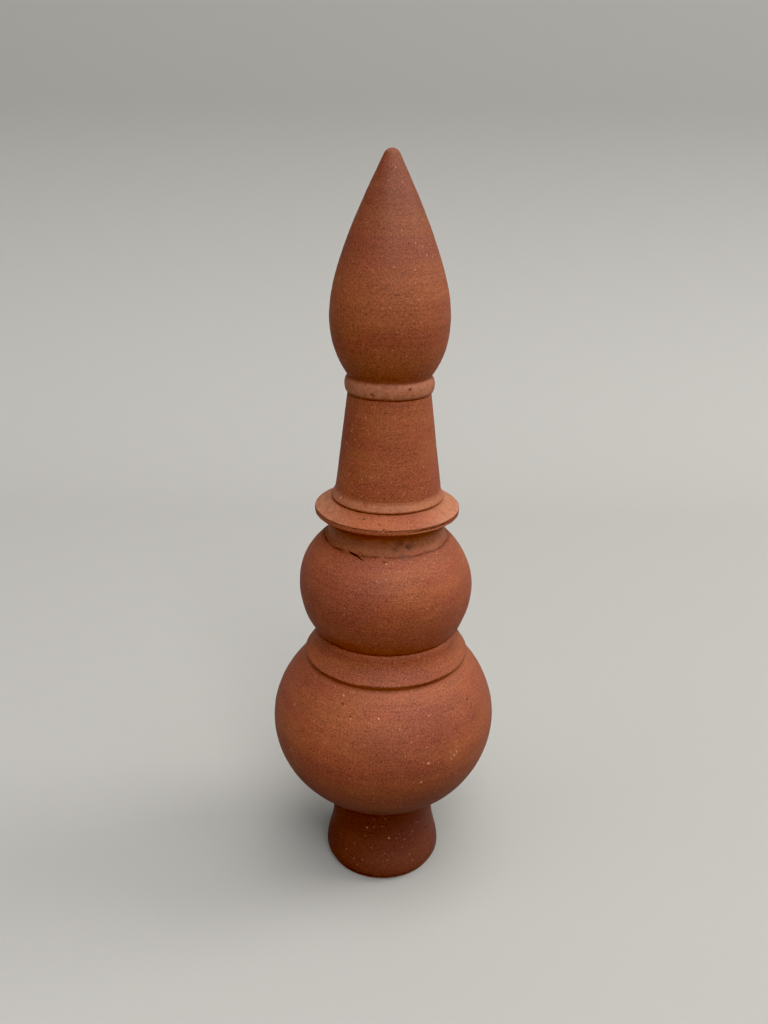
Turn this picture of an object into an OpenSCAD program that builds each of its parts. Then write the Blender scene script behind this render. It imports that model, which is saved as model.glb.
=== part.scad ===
// Turned terracotta roof finial: foot, large ball, collar, small ball, drip disc,
// tapered column, ring and bud, fired in one piece, with a socket up the foot.
// Origin: centre of the foot's underside. +Z: up the turning axis. Millimetres.

/* [Foot] */
// Height of the foot, up to the large ball
foot_h = 46.9; // [44:0.1:56]
// Radius of the foot where it meets the large ball
foot_neck_r = 29.4; // [27:0.1:32]
// Largest radius of the foot, in the swelling near its base
foot_swell_r = 33.6; // [33:0.1:37]
// Height of the widest part of the swelling
foot_swell_z = 5.5; // [5:0.5:12]
// Radius of the thin lip that the foot stands on
lip_r = 31.3; // [30:0.1:33]
// Height of the lip's edge
lip_h = 0.9; // [0.5:0.1:1.5]
// Radius at the bottom of the groove over the lip
groove_r = 29.1; // [28:0.1:30]
// Height of the groove's bottom
groove_z = 2; // [1.8:0.1:3]

/* [Socket] */
// Radius of the round socket in the foot
socket_r = 19; // [12:0.5:22]
// Depth of the socket
socket_depth = 45; // [30:1:60]

/* [Large ball] */
// Largest radius of the large ball
ball_r = 62.7; // [58:0.1:70]
// Rise of its lower half, as the half axis of an ellipse
ball_lower = 55; // [45:0.1:60]
// Rise of its upper half, as the half axis of an ellipse
ball_upper = 55.8; // [45:0.1:60]

/* [Collar] */
// Radius of the crease where the collar sits on the large ball
collar_foot_r = 43.7; // [42:0.1:46]
// Radius of the collar's lip
collar_lip_r = 45; // [43:0.1:48]
// Height of the edge under the lip, which leans in to the crease
collar_edge_h = 3.5; // [2:0.1:5]
// Height of the hollow face over the lip
collar_face_h = 14.2; // [12:0.1:17]
// Radius of the rounded shoulder over the hollow face
collar_top_r = 39.6; // [38.5:0.1:41]
// Height of the rounded shoulder
shoulder_h = 4.4; // [3:0.1:5]
// Depth of the quirk between the shoulder and the small ball
quirk_depth = 1.6; // [1:0.1:3]
// Height of the quirk
quirk_h = 0.8; // [0.8:0.1:4]

/* [Small ball] */
// Largest radius of the small ball
bulb_r = 46.7; // [44:0.1:52]
// Radius of the small ball's lower edge
bulb_edge_r = 39; // [38.5:0.1:42]
// Rise of its lower half, as the half axis of an ellipse
bulb_lower = 45.6; // [40:0.1:50]
// Rise of its upper half, as the half axis of an ellipse
bulb_upper = 39.4; // [36:0.1:44]

/* [Disc] */
// Radius of the neck under the disc
neck_r = 30.6; // [28:0.1:33]
// Height of the neck, up to the disc's edge
neck_h = 12; // [8:0.5:18]
// Radius of the disc
disc_r = 37.9; // [36:0.1:42]
// Height of the disc's edge
disc_edge_h = 3.3; // [1.5:0.1:4]
// Rise of the disc's top, from its edge to the fillet
disc_rise = 4.6; // [3:0.1:7]

/* [Column] */
// Radius of the fillet round the column's foot
fillet_r = 29.4; // [28.8:0.1:31]
// Height of the fillet
fillet_h = 6; // [4:0.5:8]
// Depth of the crease under the fillet and under the ring
crease_depth = 1.2; // [0.5:0.1:2]
// Radius of the column at its foot
column_foot_r = 27.4; // [26:0.1:28]
// Radius of the column at its top
column_top_r = 21.3; // [20:0.1:23]
// Height of the column
column_h = 50.6; // [40:0.5:70]

/* [Ring] */
// Radius of the ring over the column
ring_r = 22.9; // [22.5:0.1:26]
// Height of the ring
ring_h = 7.8; // [6:0.1:10]

/* [Bud] */
// Radius of the bud where it meets the ring
bud_foot_r = 21.2; // [18:0.1:22]
// Largest radius of the bud
bud_r = 30.2; // [28:0.1:36]
// Height of the bud's widest part over its foot
bud_swell_h = 29.5; // [24:0.5:40]
// Height of the bud over its widest part
bud_point_h = 77.6; // [60:0.2:90]
// Radius of the rounded tip
tip_r = 4.6; // [2:0.1:6]

/* [Hidden] */

$fn = 128;
clay = "sienna";
// Overlap of a cut past the face it opens
eps = 0.01;
// Pieces in one curve or arc
steps = 12;
// Softening of a thin edge
soft = 0.4;
// Angle left out where one arc takes over from another
arc_gap = 5;
// Angles at which a half-round bead starts and ends
bead_from = -80;
bead_to = 75;
// Radius of the fillet's rolled lower edge, and the angle at which the roll ends
roll_r = 1.2;
roll_to = 20;
// Angle at which the tip's rounding starts
tip_angle = 25;

// Pull of the curves' middle points: groove, swelling and waist of the foot
groove_pull = 2.4;
swell_pull = 2.5;
waist_pull = 9;
// Shares of the foot's height at which the waist is drawn in and at which it ends
waist_share = 0.42;
neck_share = 0.68;
// The collar's hollow face, below and above
flare_pull = 2.4;
flare_reach = 4;
// The flare of the fillet into the column
fillet_pull_r = 0.9;
fillet_pull_h = 3.4;
// The cove under the disc
cove_start = 2;
cove_pull = 4;
cove_drop = 1.2;
// The bud, from its foot to its tip: out, up, below and above the swelling, and under the tip
bud_pull_r = 4.6;
bud_pull_h = 7;
bud_rise_h = 13;
bud_fall_h = 17;
point_pull_r = 16.6;
point_pull_h = 36.6;

// Angle, above or below its widest part, at which an ellipse of half width r narrows to edge_r
function edge_angle(r, edge_r) = acos(edge_r / r);

// Heights, worked out from the foot upwards
ball_z = foot_h + ball_lower * sin(edge_angle(ball_r, foot_neck_r));
collar_z = ball_z + ball_upper * sin(edge_angle(ball_r, collar_foot_r));
lip_top_z = collar_z + collar_edge_h;
quirk_z = lip_top_z + collar_face_h;
bulb_foot_z = quirk_z + quirk_h;
bulb_z = bulb_foot_z + bulb_lower * sin(edge_angle(bulb_r, bulb_edge_r));
neck_z = bulb_z + bulb_upper * sin(edge_angle(bulb_r, neck_r));
disc_z = neck_z + neck_h;
disc_top_z = disc_z + disc_edge_h;
fillet_z = disc_top_z + disc_rise;
column_z = fillet_z + fillet_h;
ring_z = column_z + column_h;
bud_z = ring_z + ring_h;
bud_swell_z = bud_z + bud_swell_h;
tip_z = bud_swell_z + bud_point_h;

// Points of a cubic curve from a to d, drawn towards b and c
function curve(a, b, c, d) = [
    for (i = [0:steps])
        let (t = i / steps, u = 1 - t)
        u ^ 3 * a + 3 * u ^ 2 * t * b + 3 * u * t ^ 2 * c + t ^ 3 * d
];

// Points of an elliptical arc of half width r and half height h round [centre_r, z]
function arc(r, h, from, to, z, centre_r = 0) = [
    for (i = [0:steps])
        let (a = from + (to - from) * i / steps)
        [centre_r + r * cos(a), z + h * sin(a)]
];

// Swelling over a groove and a lip, then a waist that opens gently under the ball
function foot_outline() = concat(
    [[lip_r - soft, 0], [lip_r, lip_h / 2], [lip_r - soft, lip_h]],
    curve([groove_r, groove_z], [groove_r + groove_pull, groove_z + soft],
        [foot_swell_r, foot_swell_z - swell_pull], [foot_swell_r, foot_swell_z]),
    curve([foot_swell_r, foot_swell_z + 2 * soft], [foot_swell_r - soft, foot_swell_z + waist_pull],
        [foot_neck_r + soft / 2, foot_h * waist_share], [foot_neck_r, foot_h * neck_share])
);

// Two half ellipses that share the ball's widest circle
function ball_outline() = concat(
    arc(ball_r, ball_lower, -edge_angle(ball_r, foot_neck_r), 0, ball_z),
    arc(ball_r, ball_upper, arc_gap, edge_angle(ball_r, collar_foot_r), ball_z)
);

// Leaning edge, rounded lip, hollow face, rounded shoulder and the quirk over it
function collar_outline() = concat(
    [[collar_foot_r, collar_z + soft], [collar_lip_r, lip_top_z - 1.5 * soft]],
    curve([collar_lip_r - soft, lip_top_z], [collar_lip_r - 5 * soft, lip_top_z + flare_pull],
        [collar_top_r + 1.5 * soft, quirk_z - shoulder_h - flare_reach],
        [collar_top_r, quirk_z - shoulder_h]),
    arc(quirk_depth, shoulder_h, arc_gap, 90 - arc_gap,
        quirk_z - shoulder_h, collar_top_r - quirk_depth),
    [[collar_top_r - quirk_depth, bulb_foot_z - 1.5 * soft]]
);

// Two half ellipses that share the small ball's widest circle
function bulb_outline() = concat(
    arc(bulb_r, bulb_lower, -edge_angle(bulb_r, bulb_edge_r), 0, bulb_z),
    arc(bulb_r, bulb_upper, arc_gap, edge_angle(bulb_r, neck_r), bulb_z)
);

// Cove under the disc, its upright edge and its sloping top
function disc_outline() = concat(
    curve([neck_r, neck_z + cove_start], [neck_r, disc_z - cove_pull],
        [disc_r - cove_pull, disc_z - cove_drop], [disc_r - soft, disc_z]),
    [[disc_r, disc_z + soft], [disc_r, disc_top_z - soft], [disc_r - 1.5 * soft, disc_top_z]],
    [[fillet_r - crease_depth / 2, fillet_z - soft / 2], [fillet_r - crease_depth, fillet_z]]
);

// Fillet with a rolled lower edge that flares into the column's foot, then the straight taper
function column_outline() = concat(
    arc(roll_r, roll_r, bead_from, roll_to, fillet_z + roll_r, fillet_r - roll_r),
    curve([fillet_r - soft, fillet_z + 5 * soft],
        [column_foot_r + fillet_pull_r, fillet_z + fillet_pull_h],
        [column_foot_r, column_z - 4 * soft], [column_foot_r, column_z + soft]),
    [[column_top_r, ring_z - 1.5 * soft]]
);

// Half-round ring with a crease under it
function ring_outline() = concat(
    [[column_top_r - crease_depth / 3, ring_z]],
    arc(ring_r - column_top_r, ring_h / 2, bead_from, bead_to, ring_z + ring_h / 2, column_top_r)
);

// Rounded foot, swelling and a point with a rounded tip
function bud_outline() = concat(
    curve([bud_foot_r, bud_z + 1.5 * soft], [bud_foot_r + bud_pull_r, bud_z + bud_pull_h],
        [bud_r, bud_swell_z - bud_rise_h], [bud_r, bud_swell_z]),
    curve([bud_r, bud_swell_z + 2 * soft], [bud_r, bud_swell_z + bud_fall_h],
        [tip_r + point_pull_r, tip_z - point_pull_h],
        [tip_r * cos(tip_angle), tip_z - tip_r + tip_r * sin(tip_angle)]),
    arc(tip_r, tip_r, tip_angle + arc_gap, 90 - arc_gap, tip_z - tip_r),
    [[0, tip_z]]
);

// The round socket, open at the foot's underside
module socket() {
    translate([0, 0, -eps])
        cylinder(r = socket_r, h = socket_depth + eps);
}

module finial() {
    color(clay)
        difference() {
            rotate_extrude()
                polygon(concat(
                    [[0, 0]],
                    foot_outline(),
                    ball_outline(),
                    collar_outline(),
                    bulb_outline(),
                    disc_outline(),
                    column_outline(),
                    ring_outline(),
                    bud_outline()
                ));
            socket();
        }
}

finial();
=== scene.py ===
"""Looks of a turned terracotta roof finial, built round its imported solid. Metres, +Z up the turning axis."""

import math
import random

import bmesh
import bpy
from bpy.props import FloatProperty, FloatVectorProperty, IntProperty, PointerProperty
from mathutils import Matrix, Vector, noise
from mathutils.bvhtree import BVHTree
from mathutils.kdtree import KDTree


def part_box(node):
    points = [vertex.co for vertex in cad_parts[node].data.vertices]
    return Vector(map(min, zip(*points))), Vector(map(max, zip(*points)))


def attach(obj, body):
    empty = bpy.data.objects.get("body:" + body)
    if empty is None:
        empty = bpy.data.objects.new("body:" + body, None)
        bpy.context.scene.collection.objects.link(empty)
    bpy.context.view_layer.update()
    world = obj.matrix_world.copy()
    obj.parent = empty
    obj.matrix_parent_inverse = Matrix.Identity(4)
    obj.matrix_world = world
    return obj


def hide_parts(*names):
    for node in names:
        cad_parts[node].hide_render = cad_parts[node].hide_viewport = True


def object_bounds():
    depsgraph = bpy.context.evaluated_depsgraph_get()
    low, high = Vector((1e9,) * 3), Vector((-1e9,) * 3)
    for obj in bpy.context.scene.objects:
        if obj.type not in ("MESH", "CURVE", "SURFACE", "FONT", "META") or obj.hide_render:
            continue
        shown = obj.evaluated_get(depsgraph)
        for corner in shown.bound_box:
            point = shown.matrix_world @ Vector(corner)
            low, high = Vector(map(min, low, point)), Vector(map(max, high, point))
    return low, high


bl_info = {
    "name": "Terracotta roof finial",
    "version": (1, 0, 0),
    "blender": (4, 5, 0),
    "location": "3D View > Sidebar > Finial",
    "description": "Turns a terracotta roof finial with its pits and crack, and sets its stage",
    "category": "Add Mesh",
}

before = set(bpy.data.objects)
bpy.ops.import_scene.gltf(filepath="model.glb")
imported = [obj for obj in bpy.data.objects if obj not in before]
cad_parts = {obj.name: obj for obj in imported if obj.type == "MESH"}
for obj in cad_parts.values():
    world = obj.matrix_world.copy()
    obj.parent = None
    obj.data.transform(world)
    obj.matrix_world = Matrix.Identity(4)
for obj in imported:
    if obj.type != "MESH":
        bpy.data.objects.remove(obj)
CAD_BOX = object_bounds()

MM = 0.001
NODE = "finial"

# Points closer than this are one point, in metres
MERGE_GAP = 1e-6
# Where the section's plane meets a seam of the solid, its cuts are this close
CUT_GAP = 20 * MERGE_GAP
# The body's outside is past this radius, and the socket's wall is inside it
SOCKET_REACH = 24 * MM
# Rounds of smoothing that turn the solid's flats into curves
ROUNDING_PASSES = 6
# Names of the mesh attributes that the clay reads
PALE = "pale_grog"
# Darkness in pits, grooves and creases: partly dirt, partly painted shade
DARK = "dirt_and_painted_shade"
WORN = "worn_edge"


# ---------------------------------------------------------------- sizes and colours


class FinialForm(bpy.types.PropertyGroup):
    """Sizes of the turned body that its solid doesn't hold."""

    segments: IntProperty(
        name="Segments", description="Faces round the body", default=176, min=24, max=512
    )
    row_gap: FloatProperty(
        name="Row gap", description="Height of a row of faces on the plain swellings",
        default=2.8 * MM, min=0.5 * MM, precision=4, unit="LENGTH",
    )
    fine_gap: FloatProperty(
        name="Fine row gap", description="Height of a row of faces where a line is scored",
        default=0.4 * MM, min=0.1 * MM, precision=4, unit="LENGTH",
    )
    drift: FloatProperty(
        name="Drift", description="How far the mouldings wander off the turning axis",
        default=0.8 * MM, precision=4, unit="LENGTH",
    )
    out_of_round: FloatProperty(
        name="Out of round", description="Difference between the long and short half widths",
        default=0.25 * MM, precision=4, unit="LENGTH",
    )
    unevenness: FloatProperty(
        name="Unevenness", description="Height of the slow waves that the hands left",
        default=0.3 * MM, precision=4, unit="LENGTH",
    )
    turning_depth: FloatProperty(
        name="Turning depth", description="Height of the fine ridges left by turning",
        default=0.07 * MM, precision=5, unit="LENGTH",
    )
    turning_pitch: FloatProperty(
        name="Turning pitch", description="Usual distance between two turning ridges",
        default=4.5 * MM, precision=4, unit="LENGTH",
    )
    arris_chatter: FloatProperty(
        name="Arris chatter", description="Unevenness of the disc's thin edge",
        default=0.22 * MM, precision=5, unit="LENGTH",
    )


class FinialWear(bpy.types.PropertyGroup):
    """Scored lines, crack, pits and grains of the surface."""

    score_height: FloatProperty(
        name="Score height", description="Height of the line scored where the neck meets the small ball",
        default=206.9 * MM, precision=4, unit="LENGTH",
    )
    score_depth: FloatProperty(
        name="Score depth", description="Depth of that line",
        default=0.46 * MM, precision=5, unit="LENGTH",
    )
    score_width: FloatProperty(
        name="Score width", description="Half width of that line",
        default=0.55 * MM, precision=5, unit="LENGTH",
    )
    lip_height: FloatProperty(
        name="Lip line height", description="Height of the dark line just under the collar's lip",
        default=138.3 * MM, precision=4, unit="LENGTH",
    )
    crack_width: FloatProperty(
        name="Crack width", description="Half width of the drying crack under the neck",
        default=0.5 * MM, precision=5, unit="LENGTH",
    )
    crack_depth: FloatProperty(
        name="Crack depth", description="Depth of the drying crack",
        default=1.3 * MM, precision=5, unit="LENGTH",
    )
    pits: IntProperty(
        name="Pits", description="Small pits scattered over the body", default=48, min=0
    )
    grains: IntProperty(
        name="Grains", description="Pale grog grains scattered over the body", default=50, min=0
    )
    seed: IntProperty(name="Seed", description="Seed of the scattered pits and grains", default=11)


class FinialClay(bpy.types.PropertyGroup):
    """Colours of the fired clay."""

    orange: FloatVectorProperty(
        name="Orange clay", description="Where the fire was clean",
        default=(0.180, 0.0530, 0.0225), size=3, subtype="COLOR", min=0, max=1,
    )
    red: FloatVectorProperty(
        name="Red clay", description="Redder patches",
        default=(0.168, 0.0450, 0.0215), size=3, subtype="COLOR", min=0, max=1,
    )
    # Also mixed into the foot, partly as painted shade
    purple: FloatVectorProperty(
        name="Purple clay", description="Where the fire was short of air",
        default=(0.125, 0.0345, 0.0230), size=3, subtype="COLOR", min=0, max=1,
    )
    # Also painted as highlight on the ring, the fillet, the disc's two ends and the neck
    pale: FloatVectorProperty(
        name="Pale grog", description="Pale grains and rubbed places",
        default=(0.36, 0.175, 0.100), size=3, subtype="COLOR", min=0, max=1,
    )
    # Also mixed in as painted shade on the large ball's lower belly, the foot and in creases
    dark: FloatVectorProperty(
        name="Dark grog", description="Dark grains and dirt in hollows",
        default=(0.034, 0.0110, 0.0070), size=3, subtype="COLOR", min=0, max=1,
    )
    smoke: FloatVectorProperty(
        name="Smoke", description="Grey stain on the neck",
        default=(0.050, 0.033, 0.029), size=3, subtype="COLOR", min=0, max=1,
    )


class FinialStage(bpy.types.PropertyGroup):
    """Floor, light and camera."""

    floor_colour: FloatVectorProperty(
        name="Floor", description="Colour of the floor and its sweep",
        default=(0.262, 0.257, 0.246), size=3, subtype="COLOR", min=0, max=1,
    )
    sky: FloatProperty(
        name="Sky", description="Strength of the even light from all round", default=0.5, min=0
    )
    roof_power: FloatProperty(
        name="Roof light", description="Power of the large soft light overhead",
        default=180.0, min=0, unit="POWER",
    )
    key_power: FloatProperty(
        name="Key light", description="Power of the soft light from above right",
        default=80.0, min=0, unit="POWER",
    )
    side_power: FloatProperty(
        name="Side light", description="Power of the soft light on the left",
        default=12.0, min=0, unit="POWER",
    )
    fill_power: FloatProperty(
        name="Fill light", description="Power of the soft light high in front",
        default=118.0, min=0, unit="POWER",
    )
    black: FloatProperty(
        name="Black", description="Light that the camera takes as black", default=0.0195, min=0, max=0.1
    )
    lens: FloatProperty(
        name="Lens", description="Focal length for a 36 mm side", default=33.4, min=1
    )
    distance: FloatProperty(
        name="Camera distance", description="From the turning axis to the camera",
        default=0.4703, precision=4, unit="LENGTH",
    )
    height: FloatProperty(
        name="Camera height", description="Over the floor",
        default=0.4052, precision=4, unit="LENGTH",
    )
    pitch: FloatProperty(
        name="Camera pitch", description="How far the camera looks down",
        default=math.radians(21.6), subtype="ANGLE",
    )
    roll: FloatProperty(
        name="Camera roll", description="Turn of the camera about its own view",
        default=math.radians(0.777), subtype="ANGLE",
    )
    yaw: FloatProperty(
        name="Camera yaw", description="Turn of the camera about the upright",
        default=math.radians(0.19), subtype="ANGLE",
    )


# ---------------------------------------------------------------- outline and body


def new_object(name, bm):
    """A mesh object made from bm, linked to the scene."""
    mesh = bpy.data.meshes.new(name)
    bm.to_mesh(mesh)
    bm.free()
    for polygon in mesh.polygons:
        polygon.use_smooth = True
    piece = bpy.data.objects.new(name, mesh)
    bpy.context.scene.collection.objects.link(piece)
    return piece


def smoothstep(t):
    """0 below 0, 1 above 1, and an easy curve between."""
    t = max(0.0, min(1.0, t))
    return t * t * (3 - 2 * t)


def cut_outline(node):
    """Half of the solid's section: one chain of edges from the tip, down the outside and up the socket.

    The socket's ceiling is cut by an edge that crosses the axis. It goes with the other half's points,
    so the chain stops short of the axis there.
    """
    bm = bmesh.new()
    bm.from_mesh(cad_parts[node].data)
    bmesh.ops.remove_doubles(bm, verts=bm.verts, dist=MERGE_GAP)
    bmesh.ops.bisect_plane(
        bm, geom=bm.verts[:] + bm.edges[:] + bm.faces[:], dist=MERGE_GAP,
        plane_co=(0, 0, 0), plane_no=(0, 1, 0), clear_inner=True, clear_outer=True,
    )
    other_half = [v for v in bm.verts if v.co.x < -MERGE_GAP]
    bmesh.ops.delete(bm, geom=other_half, context="VERTS")
    bmesh.ops.remove_doubles(bm, verts=bm.verts, dist=CUT_GAP)
    for v in bm.verts:
        v.co.y = 0
    return bm


def split_rows(bm, form, wear, disc_heights):
    """Halves the outline's long edges into rows, and rounds the swellings between their given points."""
    gentle_turn = math.radians(12)
    corners = [
        v.co.copy() for v in bm.verts
        if len(v.link_edges) != 2
        or v.calc_edge_angle(math.pi) > gentle_turn
        or min(e.calc_length() for e in v.link_edges) < form.row_gap
    ]
    disc_middle = sum(disc_heights) / 2
    fine_zones = ((wear.score_height, 2 * MM), (wear.lip_height, 1.2 * MM), (disc_middle, 1.9 * MM))

    def widest_gap(edge):
        middle = (edge.verts[0].co + edge.verts[1].co) / 2
        outside = middle.x > SOCKET_REACH
        fine = outside and any(abs(middle.z - height) < reach for height, reach in fine_zones)
        return form.fine_gap if fine else form.row_gap

    while True:
        long_edges = [e for e in bm.edges if e.calc_length() > widest_gap(e)]
        if not long_edges:
            break
        bmesh.ops.subdivide_edges(bm, edges=long_edges, cuts=1)
    plain = [v for v in bm.verts if all((v.co - corner).length > MERGE_GAP for corner in corners)]
    for _ in range(ROUNDING_PASSES):
        bmesh.ops.smooth_vert(
            bm, verts=plain, factor=0.5, use_axis_x=True, use_axis_y=False, use_axis_z=True
        )


def spin_body(bm, segments):
    """Spins the outline into a shell, which is left open in the middle of the socket's ceiling."""
    bmesh.ops.spin(
        bm, geom=bm.verts[:] + bm.edges[:], cent=(0, 0, 0), axis=(0, 0, 1), dvec=(0, 0, 0),
        angle=2 * math.pi, steps=segments, use_merge=True, use_duplicate=False,
    )
    bmesh.ops.remove_doubles(bm, verts=bm.verts, dist=MERGE_GAP)
    bmesh.ops.recalc_face_normals(bm, faces=bm.faces)


# How the mouldings wander to the right of the axis, as (height in mm, share of the drift)
DRIFT_STEPS = (
    (0, 0.0), (48, 0.0), (70, -0.7), (110, -0.3), (133, 0.8), (153, 1.0), (163, 0.0),
    (178, -0.2), (195, -0.8), (210, -0.2), (225, 0.1), (240, 0.5), (300, 0.5), (325, 0.1), (401, 0.0),
)


def axis_drift(z):
    """Share of the drift at a height."""
    for (low, start), (high, end) in zip(DRIFT_STEPS, DRIFT_STEPS[1:]):
        if z <= high * MM:
            return start + (end - start) * smoothstep((z / MM - low) / (high - low))
    return DRIFT_STEPS[-1][1]


def uneven(bm, form):
    """Gives the spun shell the small faults of a hand-turned pot, none of them at its base and tip."""
    wave = 1 / (38 * MM)
    ridge = 1 / form.turning_pitch
    oval_twist = 60 * MM
    foot_height = 60 * MM
    socket_ridges = 3
    base_ease = 6 * MM
    pole_ease = 8 * MM
    for v in bm.verts:
        x, y, z = v.co
        radius = math.hypot(x, y)
        if radius < MERGE_GAP:
            continue
        turn = math.atan2(x, -y)
        out = Vector((x, y, 0)) / radius
        ease = smoothstep(z / base_ease) * smoothstep(radius / pole_ease)
        slow = noise.noise(v.co * wave)
        ridges = noise.noise(Vector((out.x * 0.7, out.y * 0.7, z * ridge + turn / math.tau)))
        oval = math.cos(2 * turn + z / oval_twist)
        inner = radius < SOCKET_REACH and z < foot_height
        push = form.unevenness * slow + form.out_of_round * oval
        push += form.turning_depth * ridges * (socket_ridges if inner else 1)
        v.co += out * push * ease
        v.co.x += form.drift * axis_drift(z) * ease


def groove(z, height, wander, half_width):
    """Depth of a groove at z, 1 on its middle line and 0 from half_width away."""
    off = abs(z - height - wander) / half_width
    return 1 - off * off if off < 1 else 0.0


def score_lines(bm, form, wear, disc_heights, disc_radius, dark):
    """Scores the lines under the neck and the collar's lip, and makes the disc's edge ragged."""
    disc_low, disc_high = disc_heights
    torn_height = disc_low + 0.42 * (disc_high - disc_low)
    arris_drop = -0.35 * MM
    lip_radius = 43 * MM
    line_width = 0.45 * MM
    lip_width = 0.5 * MM
    torn_width = 0.5 * MM
    line_depth = 0.25 * MM
    lip_depth = 0.15 * MM
    torn_depth = 0.8 * MM
    edge_reach = 1.2 * MM
    # The dark value put in each groove and under the disc's arris is painted shade
    for v in bm.verts:
        x, y, z = v.co
        radius = math.hypot(x, y)
        if radius < 25 * MM:
            continue
        turn = math.degrees(math.atan2(x, -y))
        out = Vector((x, y, 0)) / radius

        def rough(waves, place):
            return noise.noise(Vector((out.x * waves, out.y * waves, place)))

        wander = rough(3, 4.2)
        line = groove(z, wear.score_height, 0.35 * MM * wander, wear.score_width)
        if line > 0:
            bite = line * max(0.0, 0.55 + 0.45 * rough(9, 1.3))
            v.co -= out * wear.score_depth * bite
            v[dark] = max(v[dark], min(1.0, 1.1 * bite))
        line = groove(z, wear.lip_height, 0.2 * MM * wander, lip_width)
        if line > 0 and radius > lip_radius:
            bite = line * (0.7 + 0.6 * wander)
            v.co -= out * lip_depth * bite
            v[dark] = max(v[dark], 0.6 * bite)
        if abs(radius - disc_radius) < edge_reach and disc_low - 1 * MM < z < disc_high + 1 * MM:
            chatter = rough(16, 7.7) + 0.6 * rough(45, 2.1)
            v.co += out * form.arris_chatter * (chatter - 0.3)
            line = groove(z, disc_high, arris_drop, line_width)
            if line > 0:
                bite = line * (0.75 + 0.5 * chatter)
                v.co -= out * line_depth * bite
                v[dark] = max(v[dark], min(1.0, 0.9 * bite))
            torn = smoothstep((turn - 12) / 14) * smoothstep((84 - turn) / 12)
            rag = rough(22, 5.5)
            line = groove(z, torn_height, 0.3 * MM * rag, torn_width)
            if torn > 0 and line > 0:
                bite = line * torn * (0.7 + 0.5 * rag)
                v.co -= out * torn_depth * bite
                v[dark] = max(v[dark], bite)


# ---------------------------------------------------------------- marks on the surface


# How far off the axis a mark looks in from, clear of the whole body
LOOK_IN_FROM = 0.2
# Lowest height of a scattered mark, and its distance under the tip, in mm
LOWEST_MARK = 6
UNDER_TIP = 12
# Halvings of the edges round the marks
REFINING_LEVELS = 4
# How far past its radius a mark reaches
MARK_REACH = 1.15


class Mark:
    """A round dent (depth above 0) or grain (depth below 0), at a turn in degrees right of the front."""

    def __init__(self, turn, height, radius, depth, pale=0.0, dark=0.0):
        self.turn = math.radians(turn)
        self.height = height * MM
        self.radius = radius * MM
        self.depth = depth * MM
        self.pale = pale
        self.dark = dark
        self.place = None

    def settle(self, tree):
        """Finds the mark's place on the surface by looking in at the axis."""
        out = Vector((math.sin(self.turn), -math.cos(self.turn), 0))
        start = out * LOOK_IN_FROM + Vector((0, 0, self.height))
        self.place = tree.ray_cast(start, -out)[0]


def path_marks(points, step, radius, depth, pale=0.0, dark=0.0):
    """Marks along a path of (turn, height) points, narrow and shallow at both ends."""
    marks = []
    total = len(points) - 1
    for leg, ((turn_a, height_a), (turn_b, height_b)) in enumerate(zip(points, points[1:])):
        count = max(2, round(math.hypot((turn_b - turn_a) * 0.6, height_b - height_a) / step))
        for i in range(count):
            t = i / count
            along = (leg + t) / total
            swell = min(1.0, 0.35 + 2.6 * min(along, 1 - along))
            marks.append(Mark(
                turn_a + (turn_b - turn_a) * t, height_a + (height_b - height_a) * t,
                radius * swell, depth * swell, pale=pale, dark=dark,
            ))
    return marks


# The drying crack and the scratch beside it, as (turn in degrees, height in mm)
CRACK_PATH = ((-37.5, 207.7), (-31.3, 206.9), (-27.0, 206.6), (-22.5, 205.9), (-18.0, 205.0))
SCRATCH_PATH = ((-26.0, 208.2), (-22.5, 207.6), (-19.5, 206.7))
# A burr line under the disc's torn edge
BURR_PATH = ((46.0, 218.7), (53.0, 218.4), (60.0, 218.9), (68.0, 218.5))
# The pale scuff on the large ball's left flank
SCUFF_PATHS = (
    ((-53.8, 96.6), (-51.8, 95.4), (-53.2, 94.0), (-50.8, 93.6), (-52.0, 92.4)),
    ((-50.4, 92.4), (-48.9, 88.6), (-47.4, 85.8)),
)
# Short upright strokes on the foot
STROKE_PATHS = (((-12.4, 24.0), (-12.0, 17.0)), ((0.8, 22.5), (0.4, 18.5)), ((13.0, 24.5), (13.4, 17.5)))


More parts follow.
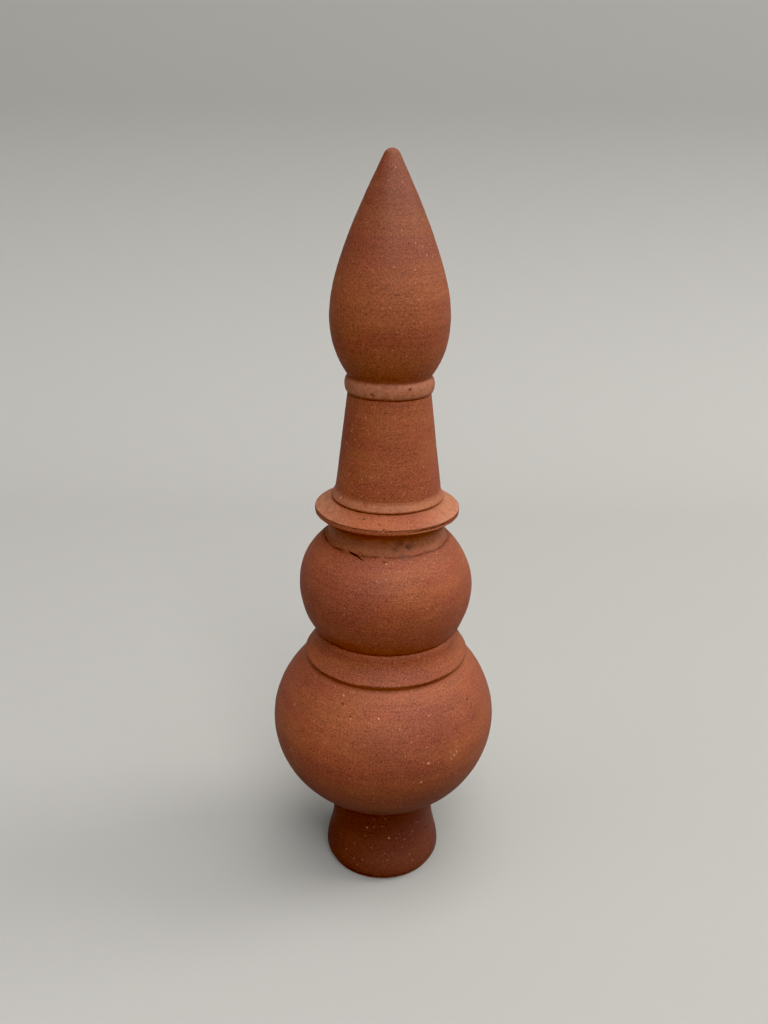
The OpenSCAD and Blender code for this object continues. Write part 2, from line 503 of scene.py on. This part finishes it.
def known_marks(wear):
    """The marks that have their own place on this finial."""
    marks = [
        Mark(25.6, 290.9, 0.9, 0.55, dark=1.0),
        Mark(-23.3, 288.2, 1.1, 0.35, dark=0.6),
        Mark(-20.8, 287.6, 0.7, 0.3, dark=0.6),
        Mark(-21.5, 226.8, 0.8, 0.5, dark=1.0),
        Mark(-2.7, 224.0, 1.0, 0.8, dark=0.8),
        Mark(-58.6, 232.3, 0.9, -0.25, pale=1.0),
        Mark(-1.3, 205.4, 1.0, 0.45, dark=0.7),
        Mark(0.6, 204.6, 0.6, -0.25, pale=1.0),
        Mark(21.8, 189.8, 0.65, 0.35, dark=0.7),
        Mark(22.8, 183.2, 0.65, 0.35, dark=0.7),
        Mark(-27.4, 131.9, 0.7, -0.25, pale=1.0),
        Mark(-26.3, 128.5, 1.0, 0.45, dark=1.0),
        Mark(-19.7, 124.4, 0.8, 0.3, dark=0.6),
        Mark(-18.9, 123.4, 0.6, -0.2, pale=0.8),
        Mark(-3.3, 124.9, 0.7, -0.25, pale=0.9),
        Mark(22.5, 100.9, 0.9, -0.3, pale=1.0),
        Mark(37.4, 100.6, 0.8, -0.25, pale=1.0),
        Mark(35.6, 99.2, 0.6, -0.2, pale=0.9),
        Mark(39.0, 101.8, 0.6, -0.2, pale=0.9),
        Mark(55.4, 123.1, 0.9, 0.45, dark=1.0),
        Mark(19.1, 90.0, 0.8, -0.25, pale=0.9),
        Mark(7.7, 28.1, 0.8, -0.2, pale=0.7),
        Mark(58.9, 24.2, 0.9, 0.4, dark=0.9),
    ]
    marks += path_marks(CRACK_PATH, 0.3, wear.crack_width / MM, wear.crack_depth / MM, dark=1.0)
    marks += path_marks(SCRATCH_PATH, 0.3, 0.35, 0.35, dark=0.6)
    marks += path_marks(BURR_PATH, 0.6, 0.7, -0.5)
    for path in SCUFF_PATHS:
        marks += path_marks(path, 0.4, 0.42, -0.06, pale=0.45)
    for path in STROKE_PATHS:
        marks += path_marks(path, 0.5, 0.45, 0.10, dark=0.3)
    return marks


def scattered_marks(wear, top):
    """Pits and grains spread over the whole body."""
    pick = random.Random(wear.seed)
    marks = []
    for _ in range(wear.pits):
        size = pick.uniform(0.4, 0.8)
        turn, height = pick.uniform(-180, 180), pick.uniform(LOWEST_MARK, top)
        marks.append(Mark(turn, height, size, 0.45 * size, dark=0.6))
    for _ in range(wear.grains):
        size = pick.uniform(0.35, 0.75)
        turn, height = pick.uniform(-180, 180), pick.uniform(LOWEST_MARK, top)
        marks.append(Mark(turn, height, size, -0.25 * size, pale=0.6))
    return marks


def refine(bm, marks):
    """Halves the edges round the marks until the faces are fine enough to carry them."""
    tree = KDTree(len(marks))
    for i, mark in enumerate(marks):
        tree.insert(mark.place, i)
    tree.balance()
    widest = max(mark.radius for mark in marks)
    for level in range(REFINING_LEVELS):
        spread = 1.2 + 1.2 * 0.5 ** level
        chosen = []
        for edge in bm.edges:
            length = edge.calc_length()
            middle = (edge.verts[0].co + edge.verts[1].co) / 2
            for _, i, away in tree.find_range(middle, widest * spread + length / 2):
                radius = marks[i].radius
                if length > radius * 0.45 and away < radius * spread + length / 2:
                    chosen.append(edge)
                    break
        if not chosen:
            break
        bmesh.ops.subdivide_edges(bm, edges=chosen, cuts=1, use_grid_fill=True)


def vertex_tree(bm):
    """The shell's points, and a tree to find those near a place."""
    points = bm.verts[:]
    tree = KDTree(len(points))
    for i, v in enumerate(points):
        tree.insert(v.co, i)
    tree.balance()
    return points, tree


def carve_marks(bm, marks, pale, dark):
    """Presses every mark into the shell and colours it."""
    surface = BVHTree.FromBMesh(bm)
    for mark in marks:
        mark.settle(surface)
    marks = [mark for mark in marks if mark.place is not None]
    refine(bm, marks)
    bm.normal_update()
    points, tree = vertex_tree(bm)
    sink = {}
    for mark in marks:
        for place, i, away in tree.find_range(mark.place, mark.radius * MARK_REACH):
            rough = 1 + 0.25 * noise.noise(place * 1400)
            fall = 1 - smoothstep(away / (mark.radius * MARK_REACH) * rough)
            depth = mark.depth * fall
            if abs(depth) > abs(sink.get(i, 0)):
                sink[i] = depth
            v = points[i]
            v[pale] = max(v[pale], min(1.0, mark.pale * fall * 1.6))
            # A pit's or crack's dark value is partly dirt, partly painted shade
            v[dark] = max(v[dark], min(1.0, mark.dark * fall * 1.4))
    for i, depth in sink.items():
        points[i].co -= points[i].normal * depth


def note_edges(bm, dark, worn):
    """Finds the sharp edges, which wear pale, and the creases, which are darkened: partly dirt, partly painted
    shade.
    """
    bm.normal_update()
    bend = {}
    for v in bm.verts:
        edges = v.link_edges
        middle = sum((e.other_vert(v).co for e in edges), Vector()) / len(edges)
        length = sum(e.calc_length() for e in edges) / len(edges)
        bend[v] = (middle - v.co).dot(v.normal) / length
    for v in bm.verts:
        around = [bend[e.other_vert(v)] for e in v.link_edges]
        value = (bend[v] * 2 + sum(around)) / (2 + len(around))
        v[worn] = smoothstep((-value - 0.05) / 0.16)
        v[dark] = max(v[dark], 0.25 * smoothstep((value - 0.1) / 0.25))


# ---------------------------------------------------------------- shader maths


class Wire:
    """A shader value. Arithmetic on it adds Math nodes."""

    def __init__(self, shader, socket):
        self.shader = shader
        self.socket = socket

    def __add__(self, other):
        return self.shader.math("ADD", self, other)

    def __radd__(self, other):
        return self.shader.math("ADD", other, self)

    def __sub__(self, other):
        return self.shader.math("SUBTRACT", self, other)

    def __rsub__(self, other):
        return self.shader.math("SUBTRACT", other, self)

    def __mul__(self, other):
        return self.shader.math("MULTIPLY", self, other)

    def __rmul__(self, other):
        return self.shader.math("MULTIPLY", other, self)

    def above(self, low, high):
        """0 where the value is below low, 1 above high, smooth between."""
        return self.shader.node(
            "ShaderNodeMapRange", {"interpolation_type": "SMOOTHSTEP"},
            {"Value": self, "From Min": low, "From Max": high, "To Min": 0.0, "To Max": 1.0},
        )


class Shader:
    """A material's node tree, and the one method that adds its nodes."""

    def __init__(self, name):
        self.material = bpy.data.materials.new(name)
        self.material.use_nodes = True
        self.tree = self.material.node_tree
        self.tree.nodes.clear()

    def node(self, kind, settings=None, sockets=None, output=0):
        """Adds a node: its settings first, then the values or links of its sockets."""
        node = self.tree.nodes.new(kind)
        for key, value in (settings or {}).items():
            setattr(node, key, value)
        for key, value in (sockets or {}).items():
            if isinstance(value, Wire):
                self.tree.links.new(value.socket, node.inputs[key])
            else:
                node.inputs[key].default_value = value
        return Wire(self, node.outputs[output]) if node.outputs else None

    def math(self, operation, first, second):
        return self.node("ShaderNodeMath", {"operation": operation}, {0: first, 1: second})

    def mix(self, factor, first, second, blend="MIX"):
        """A colour that goes from first to second as factor rises."""
        settings = {"data_type": "RGBA", "blend_type": blend, "clamp_factor": True}
        sockets = {0: factor, 6: self.colour(first), 7: self.colour(second)}
        return self.node("ShaderNodeMix", settings, sockets, output=2)

    def colour(self, value):
        return value if isinstance(value, Wire) else (*value[:3], 1.0)

    def stretch(self, vector, scale, move=(0, 0, 0)):
        """The vector moved, then scaled along each axis."""
        return self.node(
            "ShaderNodeMapping", {"vector_type": "POINT"},
            {"Vector": vector, "Location": move, "Scale": scale},
        )

    def noise(self, vector, scale, detail=2.0, roughness=0.5, distortion=0.0):
        return self.node("ShaderNodeTexNoise", {}, {
            "Vector": vector, "Scale": scale, "Detail": detail,
            "Roughness": roughness, "Distortion": distortion,
        })

    def specks(self, vector, scale, size, share):
        """1 in the middle of some cells of a cell pattern, 0 elsewhere."""
        cells = {"Vector": vector, "Scale": scale, "Randomness": 1.0}
        far = self.node("ShaderNodeTexVoronoi", {"feature": "F1"}, cells, output="Distance")
        tint = self.node("ShaderNodeTexVoronoi", {"feature": "F1"}, cells, output="Color")
        pick = self.node("ShaderNodeSeparateColor", {}, {0: tint})
        return (1 - far.above(size * 0.55, size)) * (1 - pick.above(share, share + 0.02))

    def attribute(self, name):
        settings = {"attribute_type": "GEOMETRY", "attribute_name": name}
        return self.node("ShaderNodeAttribute", settings, output="Fac")


def turn_place(turn, height, radius):
    """A place on the body, from its turn in degrees right of the front and its height and radius in mm."""
    angle = math.radians(turn)
    return Vector((radius * math.sin(angle), -radius * math.cos(angle), height)) * MM


def terracotta(clay):
    """Fired clay: orange, red and purplish patches, grog, fine turning lines, dirt and worn edges, painted
    shade low down and in hollows, and painted highlights on the bands.
    """
    s = Shader("terracotta_fired")
    place = s.node("ShaderNodeTexCoord", output="Object")
    height = s.node("ShaderNodeSeparateXYZ", {}, {0: place}, output="Z")
    across = s.node("ShaderNodeSeparateXYZ", {}, {0: place}, output="X")
    flat = s.stretch(place, (1, 1, 4.2))
    lines = s.stretch(place, (6, 6, 900))

    patches = s.noise(flat, 24, detail=4, distortion=0.4).above(0.40, 0.60)
    purple = s.noise(s.stretch(place, (1, 1, 2.2), (3, 1, 2)), 16, detail=4, distortion=0.6).above(0.48, 0.68)
    # The foot is mixed towards purple: partly its own purplish tone, partly painted shade under the large ball
    foot = 1 - height.above(0.030, 0.058)
    body = s.mix(patches, clay.orange, clay.red)
    body = s.mix(purple * 0.45 + foot * 0.5, body, clay.purple)

    # Cloudy tone, turning lines and sandy grain
    cloud = s.noise(place, 70, detail=4, roughness=0.6)
    ring_tone = s.noise(lines, 1, detail=2)
    sand = s.noise(place, 1350, detail=2, roughness=0.75)
    tone = -0.47 + cloud * 0.34 + ring_tone * 0.30 + sand * 2.3
    grey = s.node("ShaderNodeCombineColor", {}, {0: tone, 1: tone, 2: tone})
    body = s.mix(1.0, body, grey, blend="MULTIPLY")

    # The clay darkens towards the bud's point; the large ball's lower belly and the foot get painted shade
    dark_tip_and_painted_shade = height.above(0.315, 0.390) * 0.38 + (1 - height.above(0.046, 0.108)) * 0.58
    body = s.mix(dark_tip_and_painted_shade, body, clay.dark)

    pale_specks = s.specks(place, 620, 0.30, 0.06) * 0.5
    dark_specks = s.specks(s.stretch(place, (1, 1, 1), (0.3, 0.1, 0.2)), 520, 0.28, 0.08) * 0.45
    body = s.mix(dark_specks, body, clay.dark)
    body = s.mix(pale_specks, body, clay.pale)

    # Painted highlight: the ring, the fillet, the disc's two ends and the neck are painted paler
    ring_band = height.above(0.2850, 0.2875) * (1 - height.above(0.2920, 0.2945))
    fillet_band = height.above(0.2278, 0.2292) * (1 - height.above(0.2325, 0.2360))
    disc_band = height.above(0.2230, 0.2240) * (1 - height.above(0.2275, 0.2290))
    disc_ends = disc_band * s.math("ABSOLUTE", across, 0.0).above(0.012, 0.036)
    neck_band = height.above(0.2065, 0.2095) * (1 - height.above(0.2125, 0.2185))
    painted_highlight = ring_band * 0.36 + fillet_band * 0.22 + disc_ends * 0.50 + neck_band * 0.24
    painted_highlight = painted_highlight * s.noise(place, 330, detail=4).above(0.10, 0.62)
    body = s.mix(painted_highlight, body, clay.pale)

    dark = s.attribute(DARK)
    pale = s.attribute(PALE)
    worn = s.attribute(WORN)
    body = s.mix(worn * 0.28, body, clay.pale)
    # Pits, grooves and creases are darkened: partly dirt, partly painted shade
    body = s.mix(dark * 0.8, body, clay.dark)
    body = s.mix(pale * 0.8, body, clay.pale)

    # Grey smoke stain on the neck, right of the front
    stain_place = turn_place(17, 211, 31.5)
    ends = {0: place, 1: stain_place}
    away = s.node("ShaderNodeVectorMath", {"operation": "DISTANCE"}, ends, output="Value")
    stain = (1 - away.above(0.002, 0.0085)) * s.noise(place, 260, detail=3).above(0.38, 0.60)
    body = s.mix(stain * 0.65, body, clay.smoke)

    grain = s.noise(place, 900, detail=3, roughness=0.65)
    ring_bump = s.noise(lines, 1.3, detail=3)
    relief = grain * 0.9 + ring_bump * 0.5 + pale_specks * 0.4 - dark_specks * 0.9
    normal = s.node("ShaderNodeBump", {}, {"Strength": 0.7, "Distance": 0.0003, "Height": relief})
    roughness = 0.56 + cloud * 0.14 + dark * 0.15 - worn * 0.05

    surface = s.node("ShaderNodeBsdfPrincipled", {}, {
        "Base Color": body, "Roughness": roughness, "Specular IOR Level": 0.22, "Normal": normal,
    })
    s.node("ShaderNodeOutputMaterial", {}, {"Surface": surface})
    return s.material


def plain_finish(name, colour, roughness):
    """One even colour, for the stage."""
    s = Shader(name)
    surface = s.node("ShaderNodeBsdfPrincipled", {}, {
        "Base Color": (*colour, 1.0), "Roughness": roughness, "Specular IOR Level": 0.2,
    })
    s.node("ShaderNodeOutputMaterial", {}, {"Surface": surface})
    return s.material


# ---------------------------------------------------------------- operators


class FINIAL_OT_turn_body(bpy.types.Operator):
    """Turns the finial's body, marks its surface and fires it"""

    bl_idname = "finial.turn_body"
    bl_label = "Turn the finial"

    def execute(self, context):
        form = context.scene.finial_form
        wear = context.scene.finial_wear
        low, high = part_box(NODE)
        bm = cut_outline(NODE)
        disc_radius, disc_heights = disc_edge(bm)
        split_rows(bm, form, wear, disc_heights)
        spin_body(bm, form.segments)
        pale = bm.verts.layers.float.new(PALE)
        dark = bm.verts.layers.float.new(DARK)
        worn = bm.verts.layers.float.new(WORN)
        score_lines(bm, form, wear, disc_heights, disc_radius, dark)
        marks = known_marks(wear) + scattered_marks(wear, (high.z - low.z) / MM - UNDER_TIP)
        carve_marks(bm, marks, pale, dark)
        note_edges(bm, dark, worn)
        uneven(bm, form)
        wide = [f for f in bm.faces if len(f.verts) > 4]
        bmesh.ops.triangulate(bm, faces=wide)
        piece = new_object("finial_body", bm)
        piece.data.materials.append(terracotta(context.scene.finial_clay))
        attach(piece, "root")
        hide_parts(NODE)
        return {"FINISHED"}


def disc_edge(bm):
    """Radius and heights of the drip disc's upright edge, found in the outline's middle third."""
    top = max(v.co.z for v in bm.verts)
    zone = [v.co for v in bm.verts if top * 0.53 < v.co.z < top * 0.6]
    radius = max(co.x for co in zone)
    heights = [co.z for co in zone if co.x > radius - 0.1 * MM]
    return radius, (min(heights), max(heights))


def area_light(name, place, target, size, power, colour):
    """A soft square light at place, turned to the target."""
    data = bpy.data.lights.new(name, "AREA")
    data.size = size
    data.energy = power
    data.color = colour
    light = bpy.data.objects.new(name, data)
    light.location = place
    light.rotation_euler = (Vector(target) - Vector(place)).to_track_quat("-Z", "Y").to_euler()
    bpy.context.scene.collection.objects.link(light)


class FINIAL_OT_set_stage(bpy.types.Operator):
    """Lays the floor and its sweep, hangs the lights and sets the camera"""

    bl_idname = "finial.set_stage"
    bl_label = "Set the stage"

    def execute(self, context):
        stage = context.scene.finial_stage
        floor = self.lay_floor(stage)
        self.hang_lights(stage)
        self.set_camera(context, stage)
        return {"FINISHED"}

    def lay_floor(self, stage):
        """A floor that sweeps up into a plain backdrop."""
        half_width = 4.0
        front = -4.0
        back = 0.55
        sweep = 0.45
        wall_height = 4.0
        bm = bmesh.new()
        start = bm.verts.new((-half_width, front, 0))
        end = bm.verts.new((-half_width, back, 0))
        bm.edges.new((start, end))
        bmesh.ops.spin(
            bm, geom=[end], cent=(0, back, sweep), axis=(1, 0, 0), dvec=(0, 0, 0),
            angle=math.pi / 2, steps=24, use_merge=False, use_duplicate=False,
        )
        tip = max(bm.verts, key=lambda v: v.co.z)
        made = bmesh.ops.extrude_vert_indiv(bm, verts=[tip])
        bmesh.ops.translate(bm, verts=made["verts"], vec=(0, 0, wall_height))
        made = bmesh.ops.extrude_edge_only(bm, edges=bm.edges[:])
        moved = [item for item in made["geom"] if isinstance(item, bmesh.types.BMVert)]
        bmesh.ops.translate(bm, verts=moved, vec=(2 * half_width, 0, 0))
        bmesh.ops.recalc_face_normals(bm, faces=bm.faces)
        floor = new_object("floor_sweep", bm)
        floor.data.materials.append(plain_finish("floor_plain", stage.floor_colour, 0.9))
        return floor

    def hang_lights(self, stage):
        """An even sky, a large soft roof overhead, a fill high in front and a soft light on each side."""
        world = bpy.data.worlds.new("studio_sky")
        world.use_nodes = True
        background = world.node_tree.nodes["Background"]
        background.inputs["Color"].default_value = (0.93, 0.96, 1.0, 1.0)
        background.inputs["Strength"].default_value = stage.sky
        bpy.context.scene.world = world
        middle = (0, 0, (CAD_BOX[0][2] + CAD_BOX[1][2]) / 2)
        soft_white = (1.0, 0.985, 0.965)
        lights = (
            ("fill_light", (0.6, -2.9, 3.1), 2.0, stage.fill_power, (1.0, 0.985, 0.96)),
            ("side_light", (-2.5, -0.8, 2.9), 1.8, stage.side_power, soft_white),
            ("roof_light", (0.5, -0.8, 4.2), 3.2, stage.roof_power, soft_white),
            ("key_light", (2.6, 0.3, 2.3), 1.5, stage.key_power, (1.0, 0.97, 0.92)),
        )
        for name, place, size, power, colour in lights:
            area_light(name, place, middle, size, power, colour)

    def set_camera(self, context, stage):
        """Puts the camera in front of the finial, a little over its tip, looking down."""
        data = bpy.data.cameras.new("camera")
        data.sensor_fit = "VERTICAL"
        data.sensor_height = 36.0
        data.lens = stage.lens
        data.clip_start = 0.01
        data.clip_end = 50.0
        camera = bpy.data.objects.new("camera", data)
        turned = (
            Matrix.Rotation(stage.yaw, 4, "Z")
            @ Matrix.Rotation(math.pi / 2 - stage.pitch, 4, "X")
            @ Matrix.Rotation(stage.roll, 4, "Z")
        )
        camera.matrix_world = Matrix.Translation((0, -stage.distance, stage.height)) @ turned
        context.scene.collection.objects.link(camera)
        context.scene.camera = camera
        view = context.scene.view_settings
        view.view_transform = "Standard"
        view.use_curve_mapping = True
        view.curve_mapping.black_level = (stage.black,) * 3
        view.curve_mapping.update()


class FINIAL_PT_panel(bpy.types.Panel):
    """Buttons and sizes of the finial"""

    bl_idname = "FINIAL_PT_panel"
    bl_label = "Roof finial"
    bl_space_type = "VIEW_3D"
    bl_region_type = "UI"
    bl_category = "Finial"

    def draw(self, context):
        layout = self.layout
        groups = (
            ("finial_form", "finial.turn_body"), ("finial_wear", None),
            ("finial_clay", None), ("finial_stage", "finial.set_stage"),
        )
        for group, operator in groups:
            box = layout.box()
            settings = getattr(context.scene, group)
            for name in settings.__annotations__:
                box.prop(settings, name)
            if operator:
                box.operator(operator)


CLASSES = (
    FinialForm, FinialWear, FinialClay, FinialStage,
    FINIAL_OT_turn_body, FINIAL_OT_set_stage, FINIAL_PT_panel,
)
GROUPS = {
    "finial_form": FinialForm,
    "finial_wear": FinialWear,
    "finial_clay": FinialClay,
    "finial_stage": FinialStage,
}


def register():
    for cls in CLASSES:
        bpy.utils.register_class(cls)
    for name, group in GROUPS.items():
        setattr(bpy.types.Scene, name, PointerProperty(type=group))


def unregister():
    for name in GROUPS:
        delattr(bpy.types.Scene, name)
    for cls in reversed(CLASSES):
        bpy.utils.unregister_class(cls)


def main():
    register()
    bpy.ops.finial.turn_body()
    bpy.ops.finial.set_stage()
    bpy.context.view_layer.update()


if __name__ == "__main__":
    main()
